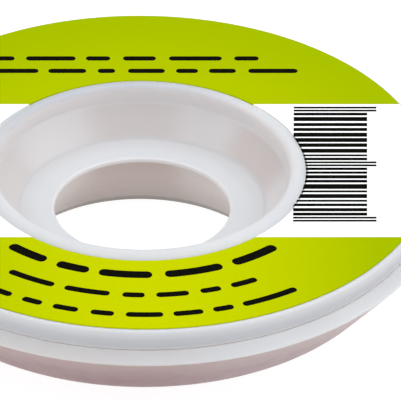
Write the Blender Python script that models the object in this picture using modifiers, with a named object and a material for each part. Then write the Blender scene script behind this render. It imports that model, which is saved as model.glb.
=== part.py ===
"""Desoldering braid wound up inside a flat, ring-shaped dispenser case.

Four pieces, each turned about the Z axis: a moulded cap with a cup in its
middle, a moulded dish whose hub forms the bore, the coil of braid between
them and the paper ring on the top. Metres, +Z up. The origin is in the
middle of the underside, on the surface that the case lies on.
"""

import math

import bpy

MM = 0.001

COLLECTION_NAME = "desoldering_braid"

# Turning
TURN_STEPS = 64
ARC_STEP = math.radians(24.0)

# Walls and clearances
WALL = 0.8 * MM
SEAM_GAP = 0.12 * MM
NEST_GAP = 0.25 * MM
GLUE_GAP = 0.04 * MM
COIL_CLEARANCE = 0.35 * MM

# Label: a paper ring glued on the cap, just short of its rim and of the lip
LABEL_THICKNESS = 0.08 * MM
LABEL_MARGIN = 0.32 * MM
LABEL_CLEARANCE = 0.05 * MM

# Cap: the flat top, its rim and the spigot that centres it in the dish
CAP_TOP = 9.18 * MM
CAP_RADIUS = 21.88 * MM
SHOULDER_ROUND = 0.3 * MM
RIM_BULGE_DROP = 0.75 * MM
RIM_BULGE_ROUND = 1.2 * MM
RIM_UNDERCUT = 0.26 * MM
RIM_DEPTH = 1.8 * MM
RIM_LEDGE = 0.83 * MM
SPIGOT_WALL = 0.7 * MM
SPIGOT_DEPTH = 0.95 * MM

# Cup: the raised lip, the sloping wall and the flat ledge around the bore
LIP_RADIUS = 11.52 * MM
LIP_RISE = 0.42 * MM
LIP_ROUND = 1.15 * MM
LIP_INNER_ROUND = 0.45 * MM
LIP_INNER_DEPTH = 1.28 * MM
LIP_DRAFT = math.radians(4.0)
LIP_FOOT_ROUND = 0.15 * MM
LEDGE_RADIUS = 9.2 * MM
CUP_DEPTH = 3.13 * MM
LEDGE_WALL = 0.5 * MM
LEDGE_ROUND = 0.25 * MM
BORE_RADIUS = 6.62 * MM
BORE_EDGE_ROUND = 0.2 * MM

# Dish: the slanted flange, the tapered wall, the underside and the foot
FLANGE_PROUD = 0.68 * MM
FLANGE_DROP = 0.63 * MM
FLANGE_ROUND = 0.15 * MM
FLANGE_LAND = 0.4 * MM
WALL_TAPER = 0.861
UNDERSIDE_SLOPE = 0.306
UNDERSIDE_ROUND = 3.0 * MM
FOOT_WIDTH = 2.45 * MM
FOOT_ROUND = 1.0 * MM

# Hub: the flared wall of the bore, narrow at the top
HUB_MOUTH_RADIUS = 10.15 * MM
HUB_MOUTH_CHAMFER = 0.1 * MM
HUB_SETBACK = 0.1 * MM

# Coil of braid
COIL_EDGE_ROUND = 0.4 * MM

# Small rounds on moulded edges
EDGE_ROUND = 0.12 * MM
INNER_ROUND = 0.4 * MM

# Heights and radii worked out from the sizes above
CAP_UNDERSIDE = CAP_TOP - WALL
RIM_BOTTOM = CAP_TOP - RIM_DEPTH
RIM_BOTTOM_RADIUS = CAP_RADIUS - RIM_UNDERCUT
SPIGOT_RADIUS = CAP_RADIUS - RIM_LEDGE
SPIGOT_BOTTOM = RIM_BOTTOM - SPIGOT_DEPTH
SPIGOT_INNER_RADIUS = SPIGOT_RADIUS - SPIGOT_WALL
LIP_CREST = CAP_TOP + LIP_RISE
LIP_CENTRE_HEIGHT = LIP_CREST - LIP_ROUND
LIP_OUTER_RADIUS = LIP_RADIUS + math.sqrt(LIP_ROUND**2 - (CAP_TOP - LIP_CENTRE_HEIGHT) ** 2)
LIP_FOOT_HEIGHT = LIP_CREST - LIP_INNER_DEPTH
LIP_FOOT_RADIUS = (
    LIP_RADIUS
    - LIP_INNER_ROUND / math.cos(LIP_DRAFT)
    - (LIP_INNER_DEPTH - LIP_INNER_ROUND) * math.tan(LIP_DRAFT)
)
LEDGE_HEIGHT = CAP_TOP - CUP_DEPTH
CUP_TAPER = (LIP_FOOT_RADIUS - LEDGE_RADIUS) / (LIP_FOOT_HEIGHT - LEDGE_HEIGHT)
LEDGE_UNDERSIDE = LEDGE_HEIGHT - LEDGE_WALL
FLANGE_RADIUS = CAP_RADIUS + FLANGE_PROUD
DISH_TOP = RIM_BOTTOM - SEAM_GAP
FLANGE_HEIGHT = DISH_TOP - FLANGE_DROP
DISH_INNER_RADIUS = SPIGOT_RADIUS + SEAM_GAP
HUB_TOP = LEDGE_UNDERSIDE - NEST_GAP
HUB_TAPER = (HUB_MOUTH_RADIUS - BORE_RADIUS - HUB_SETBACK) / HUB_TOP
FOOT_RADIUS = HUB_MOUTH_RADIUS + FOOT_WIDTH
LABEL_BOTTOM = CAP_TOP + GLUE_GAP
LABEL_TOP = LABEL_BOTTOM + LABEL_THICKNESS
LABEL_OUTER_RADIUS = CAP_RADIUS - LABEL_MARGIN
LABEL_INNER_RADIUS = LIP_OUTER_RADIUS + LABEL_CLEARANCE
COIL_TOP = CAP_UNDERSIDE - COIL_CLEARANCE
COIL_RADIUS = SPIGOT_INNER_RADIUS - COIL_CLEARANCE


def slant(thickness, slope):
    """Return a wall's thickness measured along an axis that its slope leans away from."""
    return thickness * math.hypot(1.0, slope)


def wall_height(radius, inset):
    """Return the height at which the moved-in tapered wall has a radius."""
    return FLANGE_HEIGHT - (FLANGE_RADIUS - slant(inset, WALL_TAPER) - radius) / WALL_TAPER


def underside_corner(inset):
    """Return the radius and height where the tapered wall meets the underside."""
    rise = slant(inset, UNDERSIDE_SLOPE)
    top_radius = FLANGE_RADIUS - slant(inset, WALL_TAPER)
    run = FLANGE_HEIGHT - rise + UNDERSIDE_SLOPE * FOOT_RADIUS
    radius = (top_radius - WALL_TAPER * run) / (1.0 - WALL_TAPER * UNDERSIDE_SLOPE)
    return radius, rise + UNDERSIDE_SLOPE * (radius - FOOT_RADIUS)


def foot_corner(inset):
    """Return the radius and height where the underside meets the flat of the foot."""
    rise = slant(inset, UNDERSIDE_SLOPE)
    return FOOT_RADIUS - (rise - inset) / UNDERSIDE_SLOPE, inset


def hub_radius(height, outset):
    """Return the radius of the flared hub at a height, moved out by an outset."""
    return HUB_MOUTH_RADIUS - HUB_TAPER * height + slant(outset, HUB_TAPER)


def arc(centre_radius, centre_height, radius, start, end):
    """Return the points of an arc in the section plane, from one angle to another."""
    steps = max(2, math.ceil(abs(end - start) / ARC_STEP))
    points = []
    for step in range(steps + 1):
        angle = start + (end - start) * step / steps
        x = centre_radius + radius * math.cos(angle)
        z = centre_height + radius * math.sin(angle)
        points.append((x, z))
    return points


def rounded_corner(before, corner, after, radius):
    """Return the arc that rounds a corner between its two neighbours."""
    back = (before[0] - corner[0], before[1] - corner[1])
    ahead = (after[0] - corner[0], after[1] - corner[1])
    back_length = math.hypot(*back)
    ahead_length = math.hypot(*ahead)
    back = (back[0] / back_length, back[1] / back_length)
    ahead = (ahead[0] / ahead_length, ahead[1] / ahead_length)
    half = math.acos(back[0] * ahead[0] + back[1] * ahead[1]) / 2.0
    reach = radius / math.tan(half)
    bisector = (back[0] + ahead[0], back[1] + ahead[1])
    scale = radius / math.sin(half) / math.hypot(*bisector)
    centre = (corner[0] + bisector[0] * scale, corner[1] + bisector[1] * scale)
    first = (corner[0] + back[0] * reach, corner[1] + back[1] * reach)
    last = (corner[0] + ahead[0] * reach, corner[1] + ahead[1] * reach)
    start = math.atan2(first[1] - centre[1], first[0] - centre[0])
    end = math.atan2(last[1] - centre[1], last[0] - centre[0])
    turn = (end - start + math.pi) % (2.0 * math.pi) - math.pi
    return arc(centre[0], centre[1], radius, start, start + turn)


def section(corners):
    """Return a closed section's points, with each (radius, height, round) corner rounded."""
    points = []
    for index, (x, z, radius) in enumerate(corners):
        if radius > 0.0:
            before = corners[index - 1]
            after = corners[(index + 1) % len(corners)]
            points += rounded_corner(before[:2], (x, z), after[:2], radius)
        else:
            points.append((x, z))
    return points


def make_material(name, colour, roughness, metallic=0.0, transmission=0.0):
    """Return a Principled BSDF material."""
    material = bpy.data.materials.new(name)
    material.use_nodes = True
    shader = material.node_tree.nodes["Principled BSDF"]
    shader.inputs["Base Color"].default_value = (*colour, 1.0)
    shader.inputs["Roughness"].default_value = roughness
    shader.inputs["Metallic"].default_value = metallic
    shader.inputs["Transmission Weight"].default_value = transmission
    return material


def turn(name, points, material, collection):
    """Make one turned piece: a closed section and a Screw modifier about Z."""
    mesh = bpy.data.meshes.new(name)
    vertices = [(x, 0.0, z) for x, z in points]
    edges = [(index, (index + 1) % len(points)) for index in range(len(points))]
    mesh.from_pydata(vertices, edges, [])
    piece = bpy.data.objects.new(name, mesh)
    collection.objects.link(piece)
    mesh.materials.append(material)
    screw = piece.modifiers.new("turn", "SCREW")
    screw.axis = "Z"
    screw.angle = 2.0 * math.pi
    screw.steps = TURN_STEPS
    screw.render_steps = TURN_STEPS
    screw.use_merge_vertices = True
    screw.merge_threshold = 0.000001
    screw.use_smooth_shade = True
    return piece


def cup_wall_radius(height, outset):
    """Return the radius of the cup's sloping wall at a height, moved out by an outset."""
    return LEDGE_RADIUS + (height - LEDGE_HEIGHT) * CUP_TAPER + slant(outset, CUP_TAPER)


def cup_wall_height(radius, outset):
    """Return the height at which the moved-out wall of the cup has a radius."""
    return LEDGE_HEIGHT + (radius - LEDGE_RADIUS - slant(outset, CUP_TAPER)) / CUP_TAPER


def lip_rounds():
    """Return the lip's inner round, crest and outer round, down to the flat top."""
    inner_height = LIP_CREST - LIP_INNER_ROUND
    end = math.asin((CAP_TOP - LIP_CENTRE_HEIGHT) / LIP_ROUND)
    points = arc(LIP_RADIUS, inner_height, LIP_INNER_ROUND, math.pi - LIP_DRAFT, math.pi / 2.0)
    points += arc(LIP_RADIUS, LIP_CENTRE_HEIGHT, LIP_ROUND, math.pi / 2.0, end)[1:]
    return [(x, z, 0.0) for x, z in points]


def upper_shell(collection):
    """Make the cap: rim, spigot, flat top, and the cup with its ledge."""
    corners = [
        (CAP_RADIUS, CAP_TOP, SHOULDER_ROUND),
        (CAP_RADIUS, CAP_TOP - RIM_BULGE_DROP, RIM_BULGE_ROUND),
        (RIM_BOTTOM_RADIUS, RIM_BOTTOM, EDGE_ROUND),
        (SPIGOT_RADIUS, RIM_BOTTOM, 0.0),
        (SPIGOT_RADIUS, SPIGOT_BOTTOM, EDGE_ROUND),
        (SPIGOT_INNER_RADIUS, SPIGOT_BOTTOM, EDGE_ROUND),
        (SPIGOT_INNER_RADIUS, CAP_UNDERSIDE, INNER_ROUND),
        (cup_wall_radius(CAP_UNDERSIDE, WALL), CAP_UNDERSIDE, INNER_ROUND),
        (cup_wall_radius(LEDGE_UNDERSIDE, WALL), LEDGE_UNDERSIDE, INNER_ROUND),
        (BORE_RADIUS, LEDGE_UNDERSIDE, EDGE_ROUND),
        (BORE_RADIUS, LEDGE_HEIGHT, BORE_EDGE_ROUND),
        (LEDGE_RADIUS, LEDGE_HEIGHT, LEDGE_ROUND),
        (LIP_FOOT_RADIUS, LIP_FOOT_HEIGHT, LIP_FOOT_ROUND),
    ]
    plastic = make_material("white_plastic", (0.82, 0.81, 0.82), 0.28, transmission=0.15)
    turn("upper_shell", section(corners + lip_rounds()), plastic, collection)


def lower_shell(collection):
    """Make the dish: flange, tapered wall, underside, foot and flared hub."""
    foot_inner = (HUB_MOUTH_RADIUS + HUB_MOUTH_CHAMFER, 0.0)
    inner_corner = underside_corner(WALL)
    inner_foot = foot_corner(WALL)
    corners = [
        (DISH_INNER_RADIUS, DISH_TOP, 0.0),
        (DISH_INNER_RADIUS + FLANGE_LAND, DISH_TOP, EDGE_ROUND),
        (FLANGE_RADIUS, FLANGE_HEIGHT, FLANGE_ROUND),
        (*underside_corner(0.0), UNDERSIDE_ROUND),
        (*foot_corner(0.0), FOOT_ROUND),
        (*foot_inner, 0.0),
        (hub_radius(HUB_MOUTH_CHAMFER, 0.0), HUB_MOUTH_CHAMFER, 0.0),
        (hub_radius(HUB_TOP, 0.0), HUB_TOP, EDGE_ROUND),
        (hub_radius(HUB_TOP, WALL), HUB_TOP, EDGE_ROUND),
        (hub_radius(WALL, WALL), WALL, INNER_ROUND),
        (*inner_foot, 0.0),
        (*inner_corner, UNDERSIDE_ROUND - WALL),
        (DISH_INNER_RADIUS, wall_height(DISH_INNER_RADIUS, WALL), 0.0),
    ]
    plastic = make_material("tinted_plastic", (0.66, 0.57, 0.56), 0.3, transmission=0.15)
    turn("lower_shell", section(corners), plastic, collection)


def braid_coil(collection):
    """Make the coil: one turned solid that lies in the dish, around the hub and the cup."""
    inset = WALL + COIL_CLEARANCE
    bore_radius = hub_radius(WALL, WALL) + COIL_CLEARANCE
    top_radius = max(bore_radius, cup_wall_radius(COIL_TOP, inset))
    corners = [
        (COIL_RADIUS, COIL_TOP, COIL_EDGE_ROUND),
        (COIL_RADIUS, wall_height(COIL_RADIUS, inset), 0.0),
        (*underside_corner(inset), COIL_EDGE_ROUND),
        (*foot_corner(inset), 0.0),
        (bore_radius, inset, 0.0),
    ]
    if top_radius > bore_radius:
        corners.append((bore_radius, cup_wall_height(bore_radius, inset), 0.0))
    corners.append((top_radius, COIL_TOP, COIL_EDGE_ROUND))
    copper = make_material("copper", (0.78, 0.42, 0.27), 0.4, metallic=1.0)
    turn("braid_coil", section(corners), copper, collection)


def label(collection):
    """Make the paper ring on the cap."""
    corners = [
        (LABEL_OUTER_RADIUS, LABEL_TOP, 0.0),
        (LABEL_OUTER_RADIUS, LABEL_BOTTOM, 0.0),
        (LABEL_INNER_RADIUS, LABEL_BOTTOM, 0.0),
        (LABEL_INNER_RADIUS, LABEL_TOP, 0.0),
    ]
    paper = make_material("label_paper", (0.46, 0.58, 0.01), 0.45)
    turn("label", section(corners), paper, collection)


def main():
    """Clear the scene and make the pieces."""
    for item in list(bpy.data.objects):
        bpy.data.objects.remove(item)
    collection = bpy.data.collections.new(COLLECTION_NAME)
    bpy.context.scene.collection.children.link(collection)
    upper_shell(collection)
    lower_shell(collection)
    braid_coil(collection)
    label(collection)


main()
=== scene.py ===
"""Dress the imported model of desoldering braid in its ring-shaped dispenser case.

The file is laid out as an add-on and run as a script. It gives the two mouldings
their fine sections and see-through plastic, winds the braid turn by turn, prints
the paper ring and sets the stage. Metres, +Z up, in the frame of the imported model.
"""

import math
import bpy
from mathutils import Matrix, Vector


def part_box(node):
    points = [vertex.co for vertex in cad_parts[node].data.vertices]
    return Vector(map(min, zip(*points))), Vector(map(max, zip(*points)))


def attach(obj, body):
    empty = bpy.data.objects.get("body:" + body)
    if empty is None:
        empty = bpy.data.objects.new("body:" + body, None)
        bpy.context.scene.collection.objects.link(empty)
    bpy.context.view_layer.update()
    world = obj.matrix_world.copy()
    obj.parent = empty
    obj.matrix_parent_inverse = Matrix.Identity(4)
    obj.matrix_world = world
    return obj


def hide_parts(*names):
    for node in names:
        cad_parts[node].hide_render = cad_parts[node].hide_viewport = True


bl_info = {
    "name": "Desoldering braid dispenser",
    "version": (1, 0, 0),
    "blender": (4, 5, 0),
    "location": "View3D > Sidebar > Braid dispenser",
    "description": "Makes a flat dispenser case with its coil of copper braid and its ring label",
    "category": "Object",
}

import bmesh
import bpy
from mathutils import Matrix, Vector

MM = 0.001
BODY = "root"

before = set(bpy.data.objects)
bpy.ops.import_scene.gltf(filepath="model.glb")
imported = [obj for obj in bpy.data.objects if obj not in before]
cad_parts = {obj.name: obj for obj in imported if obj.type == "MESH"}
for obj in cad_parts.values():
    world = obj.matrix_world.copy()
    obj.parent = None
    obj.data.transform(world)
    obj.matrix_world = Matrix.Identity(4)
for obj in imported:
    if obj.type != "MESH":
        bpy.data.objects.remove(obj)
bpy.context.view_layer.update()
COIL_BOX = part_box("braid_coil")
LABEL_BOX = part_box("label")

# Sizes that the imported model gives; the cap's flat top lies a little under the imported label
CAP_SETBACK = 0.04 * MM
CAP_TOP = LABEL_BOX[0].z - CAP_SETBACK
CAP_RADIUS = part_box("upper_shell")[1].x
DISH_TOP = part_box("lower_shell")[1].z
LABEL_RADIUS = LABEL_BOX[1].x
LABEL_TOP = LABEL_BOX[1].z
COIL_RADIUS = COIL_BOX[1].x
COIL_FLOOR = COIL_BOX[0].z
COIL_TOP = COIL_BOX[1].z

# Turned pieces: step of an arc, least bend between faces that shows as an edge, and the
# circle that sections are swept round
ARC_STEP = math.radians(9.0)
SHARP_ANGLE = math.radians(35.0)
RAIL_RADIUS = 1.0 * MM

# Slopes and lesser sizes of the mouldings
LIP_DRAFT = math.radians(4.0)
WALL_TAPER = 0.861
UNDERSIDE_SLOPE = 0.306
RIM_BULGE_DROP = 0.75 * MM
FLANGE_LAND = 0.62 * MM
SPIGOT_WALL = 0.7 * MM
SPIGOT_DEPTH = 0.95 * MM
HUB_MOUTH_CHAMFER = 0.1 * MM

# Rounds of the mouldings
SHOULDER_ROUND = 0.3 * MM
RIM_BULGE_ROUND = 1.2 * MM
RIM_FOOT_ROUND = 0.02 * MM
FLANGE_ROUND = 0.15 * MM
UNDERSIDE_ROUND = 3.0 * MM
FOOT_ROUND = 1.0 * MM
LIP_FOOT_ROUND = 0.15 * MM
LEDGE_ROUND = 0.25 * MM
BORE_EDGE_ROUND = 0.2 * MM
EDGE_ROUND = 0.12 * MM
INNER_ROUND = 0.4 * MM

# Gaps between pieces, and what is left free around the coil
SEAM = 0.004 * MM
HUB_SETBACK = 0.04 * MM
COIL_CLEARANCE = 0.35 * MM
PAPER_LIFT = 0.005 * MM
INK_LIFT = 0.004 * MM

# Braid: steps of a turn, round of its edges as a share of its thickness, and its strands
TURN_SEGMENTS = 96
STRIP_ROUND = 0.42
STRAND_PITCH = 0.32 * MM
STRAND_LEAN = 1.4

# Paper ring and ink: cut edge as a share of the thickness, and the depth of the ink
LABEL_INNER_RADIUS = 12.42 * MM
PAPER_EDGE = 0.3
INK_FILM = 0.006 * MM

# Printed marks: points of a mark, its least round in metres and its least width as a share
STROKE_POINTS = 21
LEAST_ROUND = 1e-6
LEAST_WIDTH = 0.02

# Rows of plain strokes, in millimetres and degrees: bend radius, start, sweep, stroke height
# and longest stroke of the curved ones; left end, distance back, length, stroke height and
# longest stroke of the straight ones. Ends are rounded by a share of the stroke's height.
CURVED_ROWS = (
    (14.35, 226.0, 92.0, 0.9, 4.6),
    (17.1, 234.0, 73.0, 0.64, 4.4),
    (19.75, 222.0, 96.0, 0.64, 5.2),
)
STRAIGHT_ROWS = (
    (-13.2, 15.5, 25.6, 0.58, 4.2),
    (-14.8, 13.75, 29.5, 0.58, 4.6),
)
SHORTEST_STROKE = 1.3
STROKE_GAPS = (0.75, 1.0)
STROKE_ROUND = 0.45
MOST_MARKS = 60
ROW_SEED_STEP = 10
STRAIGHT_SEED = 100

# Block of bars, in millimetres: a module, and the least and most widths and gaps in modules.
# Three pairs of longer guards stand a step apart, with bars of chance widths between them.
# The lean is how far the block shifts along X for each length along Y.
BAR_MODULE = 0.165
BAR_WIDTHS = (1.5, 4.5)
BAR_GAPS = (1.0, 1.6)
BAR_START = (13.97, -7.12)
BAR_LENGTH = 5.55
BAR_LEAN = 0.021
BAR_SEEDS = (245, 235)
GUARD_STEP = 7.6
GUARD_WIDTH = 4.0 * BAR_MODULE
GUARD_LENGTH = 6.25
GUARD_PAIR_LENGTH = 1.0

# Copper tint on the cup's wall, stronger in patches that are painted reflection bands: angle in
# degrees and share of tint
CUP_TINT_AND_REFLECTION_PATCHES = ((29.0, 0.42), (94.0, 0.3), (172.0, 0.16), (228.0, 0.3), (304.0, 0.26))
PATCH_EDGE = math.cos(math.radians(26.0))
PATCH_CORE = math.cos(math.radians(7.0))

# Tones that the plastic, the paper, the ink and the floor vary towards
PLASTIC_CLOUD = (0.975, 0.97, 0.975)
PAPER_FIBRE = (0.85, 0.85, 0.83)
INK_SHEEN = (0.01, 0.01, 0.007)
FLOOR_CLOUD = (0.19, 0.19, 0.19)

# Share of painted shade, as darker green, that the front gains to both sides, for X squared in
# metres
GREEN_SHADE_FADE = 3300.0

# Where tints and painted shades lie: painted shade on the ledge begins this far from the bore, the
# dish's wall is deepest in tint and painted shade below this height, and the lip is shaded at this
# angle off the back
LEDGE_SHADE_START = 0.8 * MM
DEEP_TINT_AND_SHADE_HEIGHT = 3.0 * MM
LIP_SHADE_TURN = 0.35

# Scales of the noises per metre, and depths of what they or the strands raise
CLOUD_SCALE = 160.0
SCUFF_SCALE = 900.0
GRAIN_SCALE = 7000.0
TARNISH_SCALE = 700.0
FIBRE_SCALE = 2600.0
INK_SCALE = 4000.0
FLOOR_SCALE = 30.0
GRAIN_DEPTH = 0.0012 * MM
STRAND_DEPTH = 0.05 * MM
FIBRE_DEPTH = 0.001 * MM

# Stage: half the floor's side in metres, the sky's strength, the camera's sensor in
# millimetres and its reach in metres, and each lamp's name, place, diameter, radiance and
# tone. Every lamp faces the origin.
FLOOR_HALF = 3.0
SKY_STRENGTH = 0.65
SENSOR_WIDTH = 36.0
CAMERA_REACH = 10.0
LAMPS = (
    ("overhead", (0.0, 0.0, 0.9), 1.6, 1.2, (0.95, 0.975, 1.0)),
    ("right_fill", (1.0, -0.1, 0.6), 0.8, 1.75, (1.0, 1.0, 1.0)),
    ("left_fill", (-1.0, -0.1, 0.6), 0.8, 0.75, (1.0, 1.0, 1.0)),
)


def length(name, description, millimetres):
    """Return a length property with its default in millimetres."""
    return bpy.props.FloatProperty(
        name=name, description=description, default=millimetres * MM, unit="LENGTH", precision=5
    )


def turn_angle(name, description, degrees):
    """Return an angle property with its default in degrees."""
    return bpy.props.FloatProperty(
        name=name, description=description, default=math.radians(degrees), subtype="ANGLE"
    )


def colour(name, description, rgb):
    """Return a colour property with a linear default."""
    return bpy.props.FloatVectorProperty(
        name=name, description=description, default=rgb, subtype="COLOR", min=0.0, max=1.0
    )


class BRAIDCASE_PG_case(bpy.types.PropertyGroup):
    """Sizes and plastic of the cap and the dish."""

    segments: bpy.props.IntProperty(
        name="Segments", description="Steps of a turned piece", default=192, min=24
    )
    wall: length("Wall", "Thickness of the mouldings", 0.8)
    cap_depth: length("Cap depth", "From the flat top down to the seam", 1.8)
    rim_undercut: length("Rim undercut", "How far the rim tucks in above the seam", 0.26)
    rim_ledge: length("Rim ledge", "From the rim in to the spigot", 0.83)
    lip_radius: length("Lip radius", "Radius of the lip's crest", 11.52)
    lip_rise: length("Lip rise", "Height of the lip's crest over the flat top", 0.42)
    lip_round: length("Lip round", "Radius of the lip's outer round", 1.15)
    lip_inner_round: length("Lip inner round", "Radius of the lip's round into the cup", 0.45)
    lip_inner_depth: length("Lip inner depth", "From the lip's crest down to its foot", 1.28)
    ledge_radius: length("Ledge radius", "Outer radius of the ledge in the cup", 9.2)
    cup_depth: length("Cup depth", "From the flat top down to the ledge", 3.13)
    ledge_wall: length("Ledge wall", "Thickness of the ledge", 0.37)
    bore_radius: length("Bore radius", "Radius of the bore at the ledge", 6.62)
    flange_proud: length("Flange", "How far the flange stands out past the rim", 0.68)
    flange_drop: length("Flange drop", "Fall of the slanted flange", 0.63)
    hub_mouth_radius: length("Hub mouth", "Radius of the bore at the underside", 10.15)
    foot_width: length("Foot width", "Width of the flat ring that the case lies on", 2.45)
    white: colour("White", "Plastic with nothing behind it", (0.6, 0.61, 0.628))
    # Painted light: a lighter copy of the white plastic, put on thin edges and along the seam
    bright: colour("Bright", "Thin plastic that light comes through", (0.74, 0.715, 0.715))
    cup_white: colour("Cup white", "Plastic of the cup", (0.648, 0.624, 0.624))
    shaded: colour("Shaded", "White plastic turned away from the light", (0.458, 0.472, 0.51))
    tint: colour("Tint", "Plastic with the copper behind it", (0.455, 0.365, 0.33))
    # Copper tint low on the outer wall, deepened by painted shade near the floor
    low_wall_tint_and_shade: colour("Deep tint", "Plastic low on the outer wall", (0.208, 0.09, 0.1))
    # Painted shade: plastic darkened at the bore's mouth, near the floor
    mouth_shade: colour("Foot tint", "Plastic at the mouth of the bore", (0.222, 0.188, 0.163))


class BRAIDCASE_PG_braid(bpy.types.PropertyGroup):
    """Sizes and copper of the wound braid."""

    width: length("Width", "Width of the flat braid", 1.2)
    thickness: length("Thickness", "Thickness of the flat braid", 0.4)
    turn_pitch: length("Turn pitch", "From one turn to the next outwards", 0.56)
    row_pitch: length("Row pitch", "From one row to the next upwards", 1.36)
    scatter: length("Scatter", "How far a turn strays from its place", 0.05)
    seed: bpy.props.IntProperty(name="Seed", description="Seed of the scatter", default=5)
    # Painted highlight on the strands' crowns, and painted shade in the gaps between them
    bright: colour("Bright strands", "Copper on the crowns of the strands", (0.86, 0.46, 0.28))
    gap_shade: colour("Dull strands", "Copper in the gaps between strands", (0.36, 0.13, 0.06))


class BRAIDCASE_PG_label(bpy.types.PropertyGroup):
    """Layout and inks of the ring label."""

    band_front: length("Band front", "Front edge of the white band", -9.22)
    band_back: length("Band back", "Back edge of the white band", 9.1)
    turn: turn_angle("Turn", "How far the ring is turned on the cap", 1.1)
    paper: colour("Paper", "White of the coated paper", (0.93, 0.93, 0.93))
    green: colour("Green", "Printed yellow-green", (0.485, 0.54, 0.0))
    # Darker green: painted shade on the green's sides and back, and the tone of the paper's fibre
    # mottle
    shaded_and_mottled_green: colour("Dark green", "The green towards the back", (0.316, 0.413, 0.0))
    ink: colour("Ink", "Printed dark marks", (0.004, 0.004, 0.003))
    seed: bpy.props.IntProperty(name="Seed", description="Seed of the marks", default=11)


class BRAIDCASE_PG_stage(bpy.types.PropertyGroup):
    """Camera, floor and lights."""

    elevation: turn_angle("Elevation", "Camera's height above the horizon", 33.12)
    roll: turn_angle("Roll", "Camera's roll", 0.6)
    view_width: length("View width", "Width that the picture takes in at the label", 30.15)
    aim_right: length("Aim right", "Picture's middle, right of the label's middle", 4.361)
    aim_down: length("Aim down", "Picture's middle, below the label's middle", 2.308)
    distance: length("Distance", "From the camera to the picture's middle", 1400.0)
    floor: colour("Floor", "Pale floor", (0.2, 0.2, 0.2))
    glow: bpy.props.FloatProperty(
        name="Glow", description="Light that the floor sheet gives by itself", default=0.93
    )


# Sections of the turned pieces


def slant(thickness, slope):
    """Return a wall's thickness along an axis that its slope leans away from."""
    return thickness * math.hypot(1.0, slope)


def arc(centre, radius, start, end):
    """Return the points of an arc in the section plane."""
    steps = max(2, math.ceil(abs(end - start) / ARC_STEP))
    angles = [start + (end - start) * step / steps for step in range(steps + 1)]
    return [centre + radius * Vector((math.cos(angle), math.sin(angle))) for angle in angles]


def rounded_corner(before, corner, after, radius):
    """Return the arc that rounds a corner between its two neighbours."""
    back = (before - corner).normalized()
    ahead = (after - corner).normalized()
    half = back.angle(ahead) / 2.0
    centre = corner + (back + ahead).normalized() * radius / math.sin(half)
    first = corner + back * radius / math.tan(half) - centre
    last = corner + ahead * radius / math.tan(half) - centre
    start = math.atan2(first.y, first.x)
    turn = (math.atan2(last.y, last.x) - start + math.pi) % math.tau - math.pi
    return arc(centre, radius, start, start + turn)


def section(corners):
    """Return a closed section's points, with each (radius, height, round) corner rounded."""
    points = []
    for index, (x, z, radius) in enumerate(corners):
        corner = Vector((x, z))
        if radius > 0.0:
            before = Vector(corners[index - 1][:2])
            after = Vector(corners[(index + 1) % len(corners)][:2])
            points += rounded_corner(before, corner, after, radius)
        else:
            points.append(corner)
    return points


class CaseSection:
    """Radii and heights of both mouldings, worked out from the case's sizes."""

    def __init__(self, case):
        self.case = case
        self.top = CAP_TOP
        self.underside = self.top - case.wall
        self.rim_bottom = self.top - case.cap_depth
        self.spigot_radius = CAP_RADIUS - case.rim_ledge
        self.crest = self.top + case.lip_rise
        inner_side = case.lip_inner_depth - case.lip_inner_round
        self.lip_foot = self.crest - case.lip_inner_depth
        self.lip_foot_radius = case.lip_radius - case.lip_inner_round / math.cos(LIP_DRAFT)
        self.lip_foot_radius -= inner_side * math.tan(LIP_DRAFT)
        self.ledge = self.top - case.cup_depth
        self.cup_taper = self.lip_foot_radius - case.ledge_radius
        self.cup_taper /= self.lip_foot - self.ledge
        self.ledge_underside = self.ledge - case.ledge_wall
        self.flange_radius = CAP_RADIUS + case.flange_proud
        self.flange_height = DISH_TOP - case.flange_drop
        self.dish_radius = self.spigot_radius + self.rim_bottom - DISH_TOP
        self.foot_radius = case.hub_mouth_radius + case.foot_width
        self.hub_top = self.ledge_underside - SEAM
        hub_top_radius = case.bore_radius + HUB_SETBACK
        self.hub_taper = (case.hub_mouth_radius - hub_top_radius) / self.hub_top

    def wall_radius(self, height, inset):
        """Return the radius of the dish's tapered wall at a height, moved in."""
        radius = self.flange_radius - slant(inset, WALL_TAPER)
        return radius - WALL_TAPER * (self.flange_height - height)

    def wall_height(self, radius, inset):
        """Return the height at which the moved-in tapered wall has a radius."""
        reach = self.flange_radius - slant(inset, WALL_TAPER) - radius
        return self.flange_height - reach / WALL_TAPER

    def underside_corner(self, inset):
        """Return where the moved-in tapered wall meets the moved-in underside."""
        rise = slant(inset, UNDERSIDE_SLOPE)
        run = self.flange_height - rise + UNDERSIDE_SLOPE * self.foot_radius
        radius = self.flange_radius - slant(inset, WALL_TAPER) - WALL_TAPER * run
        radius /= 1.0 - WALL_TAPER * UNDERSIDE_SLOPE
        return radius, rise + UNDERSIDE_SLOPE * (radius - self.foot_radius)

    def foot_corner(self, inset):
        """Return where the moved-in underside meets the flat of the foot."""
        rise = slant(inset, UNDERSIDE_SLOPE)
        return self.foot_radius - (rise - inset) / UNDERSIDE_SLOPE, inset

    def hub_radius(self, height, outset):
        """Return the radius of the flared hub at a height, moved out."""
        radius = self.case.hub_mouth_radius - self.hub_taper * height
        return radius + slant(outset, self.hub_taper)

    def cup_wall_radius(self, height, outset):
        """Return the radius of the cup's sloping wall at a height, moved out."""
        radius = self.case.ledge_radius + (height - self.ledge) * self.cup_taper
        return radius + slant(outset, self.cup_taper)

    def lip(self):
        """Return the lip's inner round, crest and outer round, down to the flat top."""
        case = self.case
        inner = Vector((case.lip_radius, self.crest - case.lip_inner_round))
        outer = Vector((case.lip_radius, self.crest - case.lip_round))
        end = math.asin((self.top - outer.y) / case.lip_round)
        points = arc(inner, case.lip_inner_round, math.pi - LIP_DRAFT, math.pi / 2.0)
        points += arc(outer, case.lip_round, math.pi / 2.0, end)[1:]
        return [(*point, 0.0) for point in points]


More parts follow.
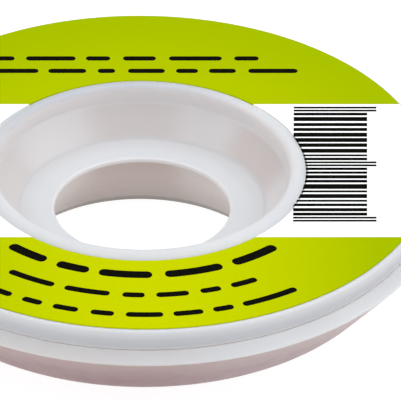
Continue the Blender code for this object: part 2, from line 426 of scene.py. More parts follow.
def cap_section(case):
    """Return the cap's section: rim, spigot, flat top, cup and ledge."""
    s = CaseSection(case)
    spigot_inner = s.spigot_radius - SPIGOT_WALL
    spigot_bottom = s.rim_bottom - SPIGOT_DEPTH
    corners = [
        (CAP_RADIUS, s.top, SHOULDER_ROUND),
        (CAP_RADIUS, s.top - RIM_BULGE_DROP, RIM_BULGE_ROUND),
        (CAP_RADIUS - case.rim_undercut, s.rim_bottom, RIM_FOOT_ROUND),
        (s.spigot_radius, s.rim_bottom, 0.0),
        (s.spigot_radius, spigot_bottom, EDGE_ROUND),
        (spigot_inner, spigot_bottom, EDGE_ROUND),
        (spigot_inner, s.underside, INNER_ROUND),
        (s.cup_wall_radius(s.underside, case.wall), s.underside, INNER_ROUND),
        (s.cup_wall_radius(s.ledge_underside, case.wall), s.ledge_underside, INNER_ROUND),
        (case.bore_radius, s.ledge_underside, 0.0),
        (case.bore_radius, s.ledge, BORE_EDGE_ROUND),
        (case.ledge_radius, s.ledge, LEDGE_ROUND),
        (s.lip_foot_radius, s.lip_foot, LIP_FOOT_ROUND),
    ]
    return section(corners + s.lip())


def dish_section(case):
    """Return the dish's section: flange, tapered wall, underside, foot and flared hub."""
    s = CaseSection(case)
    land = s.rim_bottom - SEAM
    corners = [
        (s.dish_radius, land, 0.0),
        (s.dish_radius + FLANGE_LAND, land, RIM_FOOT_ROUND),
        (s.flange_radius, s.flange_height, FLANGE_ROUND),
        (*s.underside_corner(0.0), UNDERSIDE_ROUND),
        (*s.foot_corner(0.0), FOOT_ROUND),
        (case.hub_mouth_radius + HUB_MOUTH_CHAMFER, 0.0, 0.0),
        (s.hub_radius(HUB_MOUTH_CHAMFER, 0.0), HUB_MOUTH_CHAMFER, 0.0),
        (s.hub_radius(s.hub_top, 0.0), s.hub_top, 0.0),
        (s.hub_radius(s.hub_top, case.wall), s.hub_top, EDGE_ROUND),
        (s.hub_radius(case.wall, case.wall), case.wall, INNER_ROUND),
        (*s.foot_corner(case.wall), 0.0),
        (*s.underside_corner(case.wall), UNDERSIDE_ROUND - case.wall),
        (s.dish_radius, s.wall_height(s.dish_radius, case.wall), 0.0),
    ]
    return section(corners)


def label_section():
    """Return the paper ring's section, with its cut edges just broken."""
    bottom = CAP_TOP + PAPER_LIFT
    edge = (LABEL_TOP - bottom) * PAPER_EDGE
    corners = [
        (LABEL_RADIUS, LABEL_TOP, edge),
        (LABEL_RADIUS, bottom, 0.0),
        (LABEL_INNER_RADIUS, bottom, 0.0),
        (LABEL_INNER_RADIUS, LABEL_TOP, edge),
    ]
    return section(corners)


# Objects and node trees

SOCKET_KINDS = {int: "Int", float: "Float", bpy.types.Material: "Material"}


def place_object(name, data):
    """Put an object in the scene."""
    item = bpy.data.objects.new(name, data)
    bpy.context.scene.collection.objects.link(item)
    return item


def place_shape(name, shape, material):
    """Put a bmesh in the scene, as an object of one material."""
    mesh = bpy.data.meshes.new(name)
    shape.to_mesh(mesh)
    shape.free()
    mesh.materials.append(material)
    return place_object(name, mesh)


def put(tree, node, values):
    """Link or set a value on each named or numbered input of a node."""
    for socket, value in values.items():
        if isinstance(value, bpy.types.NodeSocket):
            tree.links.new(value, node.inputs[socket])
        else:
            node.inputs[socket].default_value = value


def add(tree, kind, inputs=None, **settings):
    """Add a node with its settings and the values of its inputs."""
    node = tree.nodes.new(kind)
    for key, value in settings.items():
        setattr(node, key, value)
    put(tree, node, inputs or {})
    return node


def part(tree, kind, inputs=None, **settings):
    """Add a Geometry Nodes node and return its first output."""
    return add(tree, "GeometryNode" + kind, inputs, **settings).outputs[0]


def maths(tree, operation, *values):
    """Add a Math node and return its output."""
    return add(tree, "ShaderNodeMath", dict(enumerate(values)), operation=operation).outputs[0]


def chain(tree, operation, values):
    """Join values from left to right by one Math operation."""
    result = values[0]
    for value in values[1:]:
        result = maths(tree, operation, result, value)
    return result


def total(tree, *values):
    """Add values up."""
    return chain(tree, "ADD", values)


def product(tree, *values):
    """Multiply values."""
    return chain(tree, "MULTIPLY", values)


def vector(tree, **parts):
    """Join X, Y and Z values in a vector."""
    return add(tree, "ShaderNodeCombineXYZ", parts).outputs[0]


def store(tree, geometry, name, value, kind="FLOAT_VECTOR"):
    """Store a value on geometry by name, and return the geometry and the value kept on it."""
    inputs = {"Geometry": geometry, "Name": name, "Value": value}
    stored = part(tree, "StoreNamedAttribute", inputs, data_type=kind)
    return stored, part(tree, "InputNamedAttribute", {"Name": name}, data_type=kind)


def chance(tree, given, extra, low, high):
    """Return a chance value between two others, from the tree's seed and an extra."""
    seed = total(tree, given["Seed"], float(extra))
    inputs = {"Seed": seed, 2: low, 3: high}
    return add(tree, "FunctionNodeRandomValue", inputs, data_type="FLOAT").outputs[1]


def new_tree(name, build, values):
    """Return a tree with an input for each value, which ends in what a function builds."""
    tree = bpy.data.node_groups.new(name, "GeometryNodeTree")
    for way in ("INPUT", "OUTPUT"):
        tree.interface.new_socket("Geometry", in_out=way, socket_type="NodeSocketGeometry")
    for label, value in values.items():
        kind = "NodeSocket" + SOCKET_KINDS[type(value)]
        tree.interface.new_socket(label, in_out="INPUT", socket_type=kind)
    given = tree.nodes.new("NodeGroupInput").outputs
    real = part(tree, "RealizeInstances", {"Geometry": build(tree, given)})
    painted = part(tree, "SetMaterial", {"Geometry": real, "Material": given["Material"]})
    tree.links.new(painted, tree.nodes.new("NodeGroupOutput").inputs[0])
    return tree


def turn_section(tree, given):
    """Turn a section, drawn in the XZ plane, about the Z axis."""
    flat = {
        "Geometry": given["Geometry"],
        "Rotation": (math.radians(90.0), 0.0, 0.0),
        "Translation": (-RAIL_RADIUS, 0.0, 0.0),
    }
    outline = part(tree, "MeshToCurve", {"Mesh": part(tree, "Transform", flat)})
    circle = {"Resolution": given["Segments"], "Radius": RAIL_RADIUS}
    rail = part(tree, "CurvePrimitiveCircle", circle)
    shell = part(tree, "CurveToMesh", {"Curve": rail, "Profile Curve": outline})
    bend = part(tree, "InputMeshEdgeAngle")
    sharp = maths(tree, "GREATER_THAN", bend, given["Sharp Angle"])
    shading = {"Geometry": shell, "Shade Smooth": maths(tree, "SUBTRACT", 1.0, sharp)}
    return part(tree, "SetShadeSmooth", shading, domain="EDGE")


def wind_braid(tree, given):
    """Wind turns of braid in rows, out to the dish's tapered wall."""
    line = part(tree, "MeshLine", {"Count": product(tree, given["Turns"], given["Rows"])})
    index = part(tree, "InputIndex")
    turn = maths(tree, "MODULO", index, given["Turns"])
    row = maths(tree, "FLOOR", maths(tree, "DIVIDE", index, given["Turns"]))

    # Each turn's radius and height, a little astray
    least = product(tree, given["Scatter"], -1.0)
    aside = chance(tree, given, 0, least, given["Scatter"])
    astray = chance(tree, given, 1, least, given["Scatter"])
    out = product(tree, total(tree, turn, 0.5), given["Turn Pitch"])
    radius = total(tree, given["Bore Radius"], out, aside)
    up = product(tree, total(tree, row, 0.5), given["Row Pitch"])
    height = total(tree, COIL_FLOOR, up, astray)

    # Turns past the dish's wall or floor, or inside the cup, are left out
    bottom = total(tree, height, product(tree, given["Width"], -0.5))
    rise = maths(tree, "SUBTRACT", bottom, COIL_FLOOR)
    wall = maths(tree, "MULTIPLY_ADD", rise, WALL_TAPER, given["Wall Radius"])
    cone = total(tree, maths(tree, "DIVIDE", rise, UNDERSIDE_SLOPE), given["Floor Radius"])
    limit = maths(tree, "MINIMUM", maths(tree, "MINIMUM", wall, cone), given["Outer Radius"])
    top = total(tree, rise, given["Width"])
    cup = maths(tree, "MULTIPLY_ADD", top, given["Cup Taper"], given["Cup Radius"])
    inside = maths(tree, "LESS_THAN", radius, cup)
    beyond = maths(tree, "MAXIMUM", maths(tree, "GREATER_THAN", radius, limit), inside)

    # A ring at each place, swept by the strip's rounded section
    stored, scale = store(tree, line, "ring_size", vector(tree, X=radius, Y=radius, Z=1.0))
    placed = part(tree, "SetPosition", {"Geometry": stored, "Position": vector(tree, Z=height)})
    kept = part(tree, "DeleteGeometry", {"Geometry": placed, "Selection": beyond})
    ring = part(tree, "CurvePrimitiveCircle", {"Resolution": given["Segments"], "Radius": 1.0})
    rings = part(tree, "InstanceOnPoints", {"Points": kept, "Instance": ring, "Scale": scale})
    paths = part(tree, "RealizeInstances", {"Geometry": rings})
    size = {"Width": given["Thickness"], "Height": given["Width"]}
    strip = part(tree, "CurvePrimitiveQuadrilateral", size)
    round_size = product(tree, given["Thickness"], STRIP_ROUND)
    fillet = {"Curve": strip, "Count": 2, "Radius": round_size}
    oval = part(tree, "FilletCurve", fillet, mode="POLY")
    return part(tree, "CurveToMesh", {"Curve": paths, "Profile Curve": oval})


def set_marks(tree, given):
    """Set a row of printed marks of chance lengths, straight or bent."""
    line = part(tree, "MeshLine", {"Count": given["Count"]})

    # Each mark's start and length; those past the row's end are left out
    size = chance(tree, given, 0, given["Shortest"], given["Longest"])
    gap = chance(tree, given, 1, given["Least Gap"], given["Most Gap"])
    step = {0: total(tree, size, gap)}
    start = add(tree, "GeometryNodeAccumulateField", step, data_type="FLOAT").outputs["Trailing"]
    stored, known = store(tree, line, "start_and_size", vector(tree, X=start, Y=size))
    start, size = add(tree, "ShaderNodeSeparateXYZ", {0: known}).outputs[:2]
    beyond = maths(tree, "GREATER_THAN", total(tree, start, size), given["Row Length"])
    kept = part(tree, "DeleteGeometry", {"Geometry": stored, "Selection": beyond})

    # A line for each mark, with its points closer together at the ends
    stroke = part(tree, "CurvePrimitiveLine", {"Start": (0.0, 0.0, 0.0), "End": (1.0, 0.0, 0.0)})
    fine = part(tree, "ResampleCurve", {"Curve": stroke, "Count": STROKE_POINTS})
    placed = part(tree, "SetPosition", {"Geometry": kept, "Position": vector(tree, X=start)})
    strokes = part(tree, "InstanceOnPoints", {"Points": placed, "Instance": fine})
    paths = part(tree, "RealizeInstances", {"Geometry": strokes})
    swing = maths(tree, "COSINE", product(tree, part(tree, "SplineParameter"), math.pi))
    share = product(tree, maths(tree, "SUBTRACT", 1.0, swing), 0.5)
    paths, share = store(tree, paths, "share", share, "FLOAT")
    along = total(tree, start, product(tree, share, size))

    # Straight along X, or round a circle where there is a bend radius
    bend = given["Bend Radius"]
    angle = maths(tree, "DIVIDE", along, bend)
    round_x = product(tree, maths(tree, "COSINE", angle), bend)
    round_y = product(tree, maths(tree, "SINE", angle), bend)
    ways = {
        "Switch": maths(tree, "GREATER_THAN", bend, 0.0),
        "False": vector(tree, X=along),
        "True": vector(tree, X=round_x, Y=round_y),
    }
    chosen = part(tree, "Switch", ways, input_type="VECTOR")
    laid = part(tree, "SetPosition", {"Geometry": paths, "Position": chosen})
    upright = part(tree, "SetCurveNormal", {"Curve": laid}, mode="Z_UP")

    # Width along a mark, with rounded ends
    nearer = maths(tree, "MINIMUM", share, maths(tree, "SUBTRACT", 1.0, share))
    reach = product(tree, nearer, size)
    end_round = maths(tree, "MAXIMUM", given["End Round"], LEAST_ROUND)
    short = maths(tree, "SUBTRACT", end_round, maths(tree, "MINIMUM", reach, end_round))
    squares = [product(tree, value, value) for value in (end_round, short)]
    rise = maths(tree, "SQRT", maths(tree, "SUBTRACT", *squares))
    half = product(tree, given["Height"], 0.5)
    edge = total(tree, maths(tree, "SUBTRACT", half, end_round), rise)
    width = maths(tree, "MAXIMUM", maths(tree, "DIVIDE", edge, half), LEAST_WIDTH)
    profile = {"Width": given["Height"], "Height": given["Thickness"]}
    flat = part(tree, "CurvePrimitiveQuadrilateral", profile)
    sweep = {"Curve": upright, "Profile Curve": flat, "Scale": width, "Fill Caps": True}
    return part(tree, "CurveToMesh", sweep)


def grow(name, build, values, mesh=None):
    """Run what a function builds, on a mesh or on nothing, and return a plain object."""
    tree = new_tree(name, build, values)
    item = place_object(name, mesh or bpy.data.meshes.new(name))
    modifier = item.modifiers.new(name, "NODES")
    modifier.node_group = tree
    sockets = {s.name: s.identifier for s in tree.interface.items_tree if s.in_out == "INPUT"}
    for label, value in values.items():
        modifier[sockets[label]] = value
    item.update_tag()
    bpy.context.view_layer.update()
    depsgraph = bpy.context.evaluated_depsgraph_get()
    made = bpy.data.meshes.new_from_object(item.evaluated_get(depsgraph))
    item.modifiers.clear()
    item.data = made
    made.name = name
    return item


def outline_mesh(name, points):
    """Return a mesh of a closed section's edges in the XZ plane."""
    mesh = bpy.data.meshes.new(name)
    edges = [(index, (index + 1) % len(points)) for index in range(len(points))]
    mesh.from_pydata([(point.x, 0.0, point.y) for point in points], edges, [])
    return mesh


def turned(name, points, segments, material):
    """Return a turned piece."""
    values = {"Segments": segments, "Sharp Angle": SHARP_ANGLE, "Material": material}
    return grow(name, turn_section, values, outline_mesh(name, points))


def settle(piece, node):
    """Let a piece ride on the case and stand for a node, whose imported part is hidden."""
    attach(piece, BODY)
    if node:
        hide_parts(node)


# Materials


def new_material(name):
    """Return a material, its tree, its Principled BSDF and its Object coordinates."""
    material = bpy.data.materials.new(name)
    material.use_nodes = True
    tree = material.node_tree
    shader = tree.nodes["Principled BSDF"]
    place = add(tree, "ShaderNodeTexCoord").outputs["Object"]
    return material, tree, shader, place


def polar(tree, place):
    """Return the radius, the angle and the height of a point, from Object coordinates."""
    x, y, z = add(tree, "ShaderNodeSeparateXYZ", {0: place}).outputs
    squares = total(tree, product(tree, x, x), product(tree, y, y))
    return maths(tree, "SQRT", squares), maths(tree, "ARCTAN2", y, x), z


def noise(tree, place, scale, detail=3.0):
    """Add a Noise Texture, with its scale per metre, and return its value."""
    inputs = {"Vector": place, "Scale": scale, "Detail": detail, "Roughness": 0.5}
    return add(tree, "ShaderNodeTexNoise", inputs).outputs[0]


def spread(tree, value, low, high, to_low=0.0, to_high=1.0):
    """Map a value smoothly from one range to another, held at the ends."""
    inputs = {0: value, 1: low, 2: high, 3: to_low, 4: to_high}
    return add(tree, "ShaderNodeMapRange", inputs, interpolation_type="SMOOTHSTEP").outputs[0]


def past(tree, value, edge, start, end, to_low=0.0, to_high=1.0):
    """Map how far a value lies past an edge, from a start to an end in millimetres."""
    return spread(tree, value, edge + start * MM, edge + end * MM, to_low, to_high)


def mottle(tree, value, to_low=0.0, to_high=1.0):
    """Map the middle of a noise's values."""
    return spread(tree, value, 0.3, 0.7, to_low, to_high)


def blend(tree, factor, first, second, mode="MIX"):
    """Mix two colours, each a link or three numbers, and return the result."""
    inputs = {"Factor": factor}
    for socket, value in ((6, first), (7, second)):
        inputs[socket] = value if isinstance(value, bpy.types.NodeSocket) else (*value, 1.0)
    return add(tree, "ShaderNodeMix", inputs, data_type="RGBA", blend_type=mode).outputs[2]


def relief(tree, height, depth):
    """Return a normal bumped by a height, which is a depth in metres at its most."""
    inputs = {"Height": height, "Distance": depth, "Strength": 1.0}
    return add(tree, "ShaderNodeBump", inputs).outputs[0]


def plastic_surface(tree, shader, place, base):
    """Give moulded plastic its colour, cloudiness, scuffs and fine grain."""
    cloud = noise(tree, place, CLOUD_SCALE, 2.0)
    scuff = noise(tree, place, SCUFF_SCALE)
    grain = noise(tree, place, GRAIN_SCALE, 2.0)
    finish = {
        "Base Color": blend(tree, mottle(tree, cloud), base, PLASTIC_CLOUD, "MULTIPLY"),
        "Roughness": spread(tree, scuff, 0.35, 0.75, 0.33, 0.39),
        "Normal": relief(tree, grain, GRAIN_DEPTH),
        "IOR": 1.49,
        "Subsurface Weight": 0.5,
        "Subsurface Radius": (1.0, 0.85, 0.75),
        "Subsurface Scale": 0.8 * MM,
    }
    put(tree, shader, finish)


def cap_plastic(case):
    """Return the cap's plastic: white, and tinted on the cup's wall where the coil is behind it,
    with painted reflection bands there and painted shade and painted light on the ledge, lip, rim
    and edges.
    """
    s = CaseSection(case)
    material, tree, shader, place = new_material("cap_plastic")
    radius, angle, height = polar(tree, place)

    # The ledge, darker and more tinted outwards: painted shade towards the cup's wall. The cup's
    # wall, tinted in patches: painted reflection bands
    ledge_shade = spread(tree, radius, case.bore_radius + LEDGE_SHADE_START, case.ledge_radius, 0.0, 0.16)
    above = past(tree, height, s.ledge, 0.05, 0.3)
    below = past(tree, height, s.lip_foot, -0.3, 0.1, 1.0, 0.0)
    strength = 0.0
    # Copper tint laid in patches at listed angles: painted reflection bands
    for centre, most in CUP_TINT_AND_REFLECTION_PATCHES:
        near = maths(tree, "COSINE", maths(tree, "SUBTRACT", angle, math.radians(centre)))
        patch = spread(tree, near, PATCH_EDGE, PATCH_CORE, 0.0, most)
        strength = maths(tree, "MAXIMUM", strength, patch)
    share = product(tree, above, below, strength)
    ledge = blend(tree, ledge_shade, case.white, case.tint)
    cup = blend(tree, share, blend(tree, above, ledge, case.cup_white), case.tint)

    # Painted light on thin edges: the lip's inner side and the edge of the bore are made brighter
    steep = past(tree, height, s.lip_foot, -0.1, 0.05)
    under_crest = past(tree, height, s.crest, -0.45, -0.15, 1.0, 0.2)
    edge = past(tree, radius, case.bore_radius, 0.02, 0.15, 1.0, 0.0)
    painted_edge_light = maths(tree, "MAXIMUM", product(tree, steep, under_crest), edge)
    outside = past(tree, radius, case.lip_radius, -0.4, -0.1)
    base = blend(tree, outside, blend(tree, painted_edge_light, cup, case.bright), case.white)

    # Sides turned away from the light: the lip's at the back and the rim's low side
    crest = past(tree, height, s.crest, -0.38, -0.02, 0.06, 0.95)
    back = maths(tree, "SINE", maths(tree, "SUBTRACT", angle, LIP_SHADE_TURN))
    back = product(tree, crest, spread(tree, back, 0.3, 1.0), above)
    side = past(tree, radius, CAP_RADIUS, -0.35, -0.1, 0.0, 0.6)
    low = past(tree, height, s.top, -0.9, -0.2, 1.0, 0.0)
    away = maths(tree, "MAXIMUM", back, product(tree, side, low))
    base = blend(tree, away, base, case.shaded)

    # Painted light at the rim's foot along the seam, which lifts the shade in the crease
    seam = past(tree, height, s.rim_bottom, 0.08, 0.3, 1.0, 0.0)
    rim = past(tree, radius, CAP_RADIUS, -0.8, -0.5)
    base = blend(tree, product(tree, seam, rim), base, case.bright)
    plastic_surface(tree, shader, place, base)
    return material


def dish_plastic(case):
    """Return the dish's plastic: white flange, tinted wall and strongly tinted bore, with painted
    shade low down and on the flange's left, and painted light on the wall's right and along the
    seam.
    """
    s = CaseSection(case)
    material, tree, shader, place = new_material("dish_plastic")
    radius, angle, height = polar(tree, place)
    right = maths(tree, "COSINE", angle)

    # The tapered wall, deepest in tint low down, where the deeper tone is partly painted shade near
    # the floor, and paler to the right: painted light
    low = spread(tree, height, DEEP_TINT_AND_SHADE_HEIGHT, s.flange_height, 1.0, 0.54)
    wall = blend(tree, low, case.tint, case.low_wall_tint_and_shade)
    wall = blend(tree, spread(tree, right, 0.0, 0.4, 0.0, 0.12), wall, case.cup_white)

    # The bore's wall, paler to both sides, and darker low down and most at its mouth: painted shade
    # near the floor
    foot = past(tree, height, 0.0, 0.45, 0.9, 1.0, 0.0)
    foot = maths(tree, "MAXIMUM", foot, past(tree, height, 0.0, 0.5, 4.0, 0.35, 0.0))
    aside = maths(tree, "ABSOLUTE", total(tree, right, 0.12))
    hub = blend(tree, spread(tree, aside, 0.3, 0.65, 0.0, 0.4), case.tint, case.cup_white)
    hub = blend(tree, foot, hub, case.mouth_shade)
    bore = past(tree, radius, case.hub_mouth_radius, 0.0, 0.5, 1.0, 0.0)

    # The flange, a little darker with tint to the left: painted shade; and brighter along the seam:
    # painted light
    left = spread(tree, right, -0.2, 0.5, 0.25, 0.0)
    seam = past(tree, radius, CAP_RADIUS, -0.22, -0.05, 1.0, 0.0)
    flange = blend(tree, seam, blend(tree, left, case.white, case.tint), case.bright)
    below = past(tree, height, s.flange_height, -0.2, -0.02, 1.0, 0.0)
    base = blend(tree, below, flange, blend(tree, bore, wall, hub))
    plastic_surface(tree, shader, place, base)
    return material


def braid_copper(braid):
    """Return woven copper: crossing strands in relief, with painted highlight on their crowns and
    painted shade in the gaps between them.
    """
    material, tree, shader, place = new_material("braid_copper")
    angle, height = polar(tree, place)[1:]
    run = product(tree, angle, COIL_RADIUS)
    strands = []
    for lean in (STRAND_LEAN, -STRAND_LEAN):
        across = total(tree, run, product(tree, height, lean))
        phase = product(tree, across, math.tau / STRAND_PITCH)
        strands.append(maths(tree, "SINE", phase))
    crown = spread(tree, maths(tree, "MAXIMUM", *strands), -0.2, 1.0)
    tarnish = noise(tree, place, TARNISH_SCALE)
    # Painted highlight on the crowns and painted shade in the gaps, varied by tarnish
    share = product(tree, crown, spread(tree, tarnish, 0.2, 0.8, 0.7, 1.0))
    finish = {
        "Base Color": blend(tree, share, braid.gap_shade, braid.bright),
        "Roughness": mottle(tree, tarnish, 0.28, 0.45),
        "Normal": relief(tree, crown, STRAND_DEPTH),
        "Metallic": 1.0,
    }
    put(tree, shader, finish)
    return material


def label_paper(label):
    """Return coated paper printed green, with a white band across, and painted shade that darkens
    the green.
    """
    material, tree, shader, place = new_material("label_paper")
    mapping = {"Vector": place, "Rotation": (0.0, 0.0, -label.turn)}
    along_band = add(tree, "ShaderNodeMapping", mapping).outputs[0]
    x, y = add(tree, "ShaderNodeSeparateXYZ", {0: along_band}).outputs[:2]
    front = past(tree, y, label.band_front, -0.01, 0.01, 1.0, 0.0)
    back = past(tree, y, label.band_back, -0.01, 0.01)
    printed = total(tree, front, back)

    # Painted shade: the green darkens to both sides at the front, and outwards at the back
    aside = product(tree, x, x, GREEN_SHADE_FADE)
    radius = polar(tree, place)[0]
    outwards = spread(tree, radius, LABEL_INNER_RADIUS, LABEL_RADIUS, 0.65, 1.0)
    behind = maths(tree, "GREATER_THAN", y, 0.0)
    green_shade = add(tree, "ShaderNodeMix", {"Factor": behind, 2: aside, 3: outwards}).outputs[0]
    green = blend(tree, green_shade, label.green, label.shaded_and_mottled_green)

    fibre = noise(tree, place, FIBRE_SCALE, 4.0)
    green = blend(tree, mottle(tree, fibre, 0.0, 0.08), green, label.shaded_and_mottled_green)
    white = blend(tree, mottle(tree, fibre, 0.0, 0.05), label.paper, PAPER_FIBRE)
    finish = {
        "Base Color": blend(tree, printed, white, green),
        "Roughness": mottle(tree, fibre, 0.48, 0.58),
        "Normal": relief(tree, fibre, FIBRE_DEPTH),
        "Specular IOR Level": 0.0,
    }
    put(tree, shader, finish)
    return material


def print_ink(label):
    """Return printing ink: near black, a little uneven in colour and gloss."""
    material, tree, shader, place = new_material("print_ink")
    uneven = noise(tree, place, INK_SCALE)
    finish = {
        "Base Color": blend(tree, mottle(tree, uneven, 0.0, 0.4), label.ink, INK_SHEEN),
        "Roughness": mottle(tree, uneven, 0.5, 0.62),
        "Specular IOR Level": 0.0,
    }
    put(tree, shader, finish)
    return material


def floor_paint(stage):
    """Return the pale floor."""
    material, tree, shader, place = new_material("pale_floor")
    cloud = noise(tree, place, FLOOR_SCALE)
    finish = {
        "Base Color": blend(tree, mottle(tree, cloud, 0.0, 0.1), stage.floor, FLOOR_CLOUD),
        "Emission Color": (1.0, 1.0, 1.0, 1.0),
        "Emission Strength": stage.glow,
        "Roughness": 0.9,
        "Specular IOR Level": 0.1,
    }
    put(tree, shader, finish)
    return material


# Printed marks


def join_rows(name, rows):
    """Join rows of marks into one piece."""
    whole = bmesh.new()
    for row in rows:
        whole.from_mesh(row.data)
    bmesh.ops.recalc_face_normals(whole, faces=whole.faces)
    piece = place_shape(name, whole, rows[0].data.materials[0])
    for row in rows:
        bpy.data.objects.remove(row)
    return piece


def shift(x, y, z=0.0):
    """Return a move by millimetres along X and Y, and by metres along Z."""
    return Matrix.Translation((x * MM, y * MM, z))


def turn_about_z(degrees):
    """Return a turn about the Z axis."""
    return Matrix.Rotation(math.radians(degrees), 4, "Z")


def mark_values(seed, run, sizes, gaps, height, end_round=0.0, bend=0.0):
    """Return a row's values from millimetres; sizes and gaps are the least and the most."""
    lengths = {
        "Row Length": run,
        "Shortest": sizes[0],
        "Longest": sizes[1],
        "Least Gap": gaps[0],
        "Most Gap": gaps[1],
        "Height": height,
        "End Round": end_round,
        "Bend Radius": bend,
    }
    return {"Seed": seed, **{label: value * MM for label, value in lengths.items()}}


def stroke_values(seed, run, stroke, longest, bend=0.0):
    """Return the values of a row of plain strokes."""
    sizes = (SHORTEST_STROKE, longest)
    return mark_values(seed, run, sizes, STROKE_GAPS, stroke, stroke * STROKE_ROUND, bend)


def stroke_rows(seed, height):
    """Return the values and the place of each row of plain strokes, curved ones first."""
    rows = []
    for index, (radius, start, sweep, stroke, longest) in enumerate(CURVED_ROWS):
        run = math.radians(sweep) * radius
        values = stroke_values(seed + ROW_SEED_STEP * index, run, stroke, longest, radius)
        rows.append((values, shift(0.0, 0.0, height) @ turn_about_z(start)))
    for index, (left, back, run, stroke, longest) in enumerate(STRAIGHT_ROWS):
        row_seed = seed + STRAIGHT_SEED + ROW_SEED_STEP * index
        rows.append((stroke_values(row_seed, run, stroke, longest), shift(left, back, height)))
    return rows


def bar_rows(seed, height):
    """Return the values and the place of each pair of guards, then of each run of bars."""
    lean = Matrix.Identity(4)
    lean[0][1] = BAR_LEAN
    block = shift(*BAR_START, height) @ lean
    quarter = turn_about_z(90.0)
    widths = [BAR_MODULE * width for width in BAR_WIDTHS]
    gaps = [BAR_MODULE * gap for gap in BAR_GAPS]
    guards = mark_values(0, GUARD_PAIR_LENGTH, widths[:1] * 2, gaps[:1] * 2, GUARD_LENGTH)
    guards["Count"] = 2
    aside = (GUARD_LENGTH - BAR_LENGTH) / 2.0
    rows = [(guards, block @ shift(aside, GUARD_STEP * index) @ quarter) for index in range(3)]
    run = GUARD_STEP - GUARD_WIDTH - 2.0 * BAR_MODULE
    for index, extra in enumerate(BAR_SEEDS):
        bars = mark_values(seed + extra, run, widths, gaps, BAR_LENGTH)
        start = GUARD_STEP * index + GUARD_WIDTH + BAR_MODULE
        rows.append((bars, block @ shift(0.0, start) @ quarter))
    return rows


# Stage


def lay_floor(stage):
    """Lay the pale floor at the height of the foot."""
    sheet = bmesh.new()
    bmesh.ops.create_grid(sheet, x_segments=1, y_segments=1, size=FLOOR_HALF)
    place_shape("floor", sheet, floor_paint(stage))


def hang_lights(scene):
    """Light the scene with a pale sky, a large soft lamp overhead and a fill on each side."""
    scene.view_settings.view_transform = "Standard"
    world = bpy.data.worlds.new("studio")
    world.use_nodes = True
    sky = world.node_tree.nodes["Background"]
    put(world.node_tree, sky, {"Color": (1.0, 1.0, 1.0, 1.0), "Strength": SKY_STRENGTH})
    scene.world = world
    for name, place, size, radiance, tone in LAMPS:
        data = bpy.data.lights.new(name, "AREA")
        data.shape = "DISK"
        data.size = size
        data.energy = radiance * math.pi * math.pi * (size / 2.0) ** 2
        data.color = tone
        lamp = place_object(name, data)
        lamp.location = place
        lamp.rotation_euler = Vector(place).to_track_quat("Z", "Y").to_euler()


def set_camera(scene, stage):
    """Set the camera: a long lens that looks down on the cup from the front."""
    tilt = Matrix.Rotation(math.radians(90.0) - stage.elevation, 3, "X")
    turn = tilt @ Matrix.Rotation(stage.roll, 3, "Z")
    right, up, back = turn.col
    target = Vector((0.0, 0.0, LABEL_TOP)) + right * stage.aim_right - up * stage.aim_down
    data = bpy.data.cameras.new("camera")
    data.sensor_width = SENSOR_WIDTH
    data.lens = stage.distance / stage.view_width * data.sensor_width
    data.clip_end = CAMERA_REACH
    camera = place_object("camera", data)
    camera.matrix_world = Matrix.Translation(target + back * stage.distance) @ turn.to_4x4()
    scene.camera = camera


# Operators and panel


class BRAIDCASE_OT_cap(bpy.types.Operator):
    """Make the cap with its cup, ledge and raised lip"""

    bl_idname = "braidcase.make_cap"
    bl_label = "Make cap"

    def execute(self, context):
        case = context.scene.braidcase_case
        piece = turned("cap_moulding", cap_section(case), case.segments, cap_plastic(case))
        settle(piece, "upper_shell")
        return {"FINISHED"}


class BRAIDCASE_OT_dish(bpy.types.Operator):
    """Make the dish with its flange, tapered wall and flared hub"""

    bl_idname = "braidcase.make_dish"
    bl_label = "Make dish"

    def execute(self, context):
        case = context.scene.braidcase_case
        piece = turned("dish_moulding", dish_section(case), case.segments, dish_plastic(case))
        settle(piece, "lower_shell")
        return {"FINISHED"}


class BRAIDCASE_OT_braid(bpy.types.Operator):
    """Wind the braid in rows of turns inside the case"""

    bl_idname = "braidcase.wind_braid"
    bl_label = "Wind braid"

    def execute(self, context):
        case = context.scene.braidcase_case
        braid = context.scene.braidcase_braid
        s = CaseSection(case)
        inset = case.wall + COIL_CLEARANCE
        bore = s.hub_radius(case.wall, case.wall) + COIL_CLEARANCE
        slack = braid.thickness / 2.0 + braid.scatter
        values = {
            "Turns": math.ceil((COIL_RADIUS - bore) / braid.turn_pitch),
            "Rows": int((COIL_TOP - COIL_FLOOR) / braid.row_pitch),
            "Segments": TURN_SEGMENTS,
            "Seed": braid.seed,
            "Bore Radius": bore,
            "Floor Radius": s.foot_corner(COIL_FLOOR)[0] - slack,
            "Wall Radius": s.wall_radius(COIL_FLOOR, COIL_FLOOR) - slack,
            "Outer Radius": COIL_RADIUS - slack,
            "Cup Radius": s.cup_wall_radius(COIL_FLOOR, inset) + slack,
            "Cup Taper": s.cup_taper,
            "Turn Pitch": braid.turn_pitch,
            "Row Pitch": braid.row_pitch,
            "Width": braid.width,
            "Thickness": braid.thickness,
            "Scatter": braid.scatter,
            "Material": braid_copper(braid),
        }
        piece = grow("wound_braid", wind_braid, values)
        settle(piece, "braid_coil")
        return {"FINISHED"}


class BRAIDCASE_OT_label(bpy.types.Operator):
    """Make the paper ring with its green print and white band"""

    bl_idname = "braidcase.make_label"
    bl_label = "Make label"

    def execute(self, context):
        case = context.scene.braidcase_case
        label = context.scene.braidcase_label
        piece = turned("paper_ring", label_section(), case.segments, label_paper(label))
        settle(piece, "label")
        return {"FINISHED"}


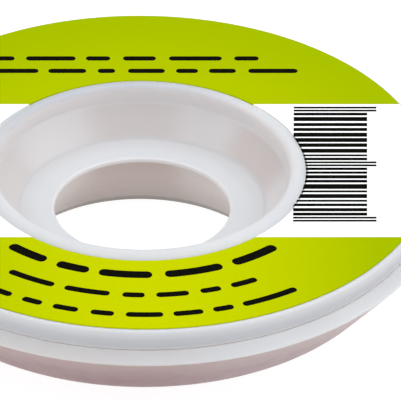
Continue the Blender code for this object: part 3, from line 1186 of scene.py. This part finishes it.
class BRAIDCASE_OT_print(bpy.types.Operator):
    """Print rows of plain marks and a block of bars on the paper ring"""

    bl_idname = "braidcase.print_marks"
    bl_label = "Print marks"

    def execute(self, context):
        label = context.scene.braidcase_label
        height = LABEL_TOP + INK_LIFT + INK_FILM / 2.0
        turn = Matrix.Rotation(label.turn, 4, "Z")
        shared = {"Count": MOST_MARKS, "Thickness": INK_FILM, "Material": print_ink(label)}
        rows = []
        for values, move in stroke_rows(label.seed, height) + bar_rows(label.seed, height):
            row = grow("row", set_marks, {**shared, **values})
            row.data.transform(turn @ move)
            rows.append(row)
        settle(join_rows("printed_marks", rows), None)
        return {"FINISHED"}


class BRAIDCASE_OT_stage(bpy.types.Operator):
    """Lay the floor, hang the soft lights and set the camera"""

    bl_idname = "braidcase.set_stage"
    bl_label = "Set stage"

    def execute(self, context):
        stage = context.scene.braidcase_stage
        lay_floor(stage)
        hang_lights(context.scene)
        set_camera(context.scene, stage)
        return {"FINISHED"}


class BRAIDCASE_PT_panel(bpy.types.Panel):
    """List the operators and the sizes in the sidebar"""

    bl_idname = "BRAIDCASE_PT_panel"
    bl_label = "Braid dispenser"
    bl_space_type = "VIEW_3D"
    bl_region_type = "UI"
    bl_category = "Braid dispenser"

    def draw(self, context):
        for operator in OPERATORS:
            self.layout.operator(operator.bl_idname)
        for group in GROUPS:
            box = self.layout.box()
            values = getattr(context.scene, group)
            for key in values.bl_rna.properties.keys():
                if key not in {"rna_type", "name"}:
                    box.prop(values, key)


OPERATORS = (
    BRAIDCASE_OT_stage,
    BRAIDCASE_OT_cap,
    BRAIDCASE_OT_dish,
    BRAIDCASE_OT_braid,
    BRAIDCASE_OT_label,
    BRAIDCASE_OT_print,
)
GROUPS = {
    "braidcase_case": BRAIDCASE_PG_case,
    "braidcase_braid": BRAIDCASE_PG_braid,
    "braidcase_label": BRAIDCASE_PG_label,
    "braidcase_stage": BRAIDCASE_PG_stage,
}


def register():
    """Register the classes and hang the property groups on the scene."""
    for kind in (*GROUPS.values(), *OPERATORS, BRAIDCASE_PT_panel):
        bpy.utils.register_class(kind)
    for name, group in GROUPS.items():
        setattr(bpy.types.Scene, name, bpy.props.PointerProperty(type=group))


def unregister():
    """Take the property groups off the scene and unregister the classes."""
    for name in GROUPS:
        delattr(bpy.types.Scene, name)
    for kind in (BRAIDCASE_PT_panel, *OPERATORS, *GROUPS.values()):
        bpy.utils.unregister_class(kind)


def main():
    """Make every piece and the stage."""
    register()
    bpy.ops.braidcase.set_stage()
    bpy.ops.braidcase.make_cap()
    bpy.ops.braidcase.make_dish()
    bpy.ops.braidcase.wind_braid()
    bpy.ops.braidcase.make_label()
    bpy.ops.braidcase.print_marks()


if __name__ == "__main__":
    main()
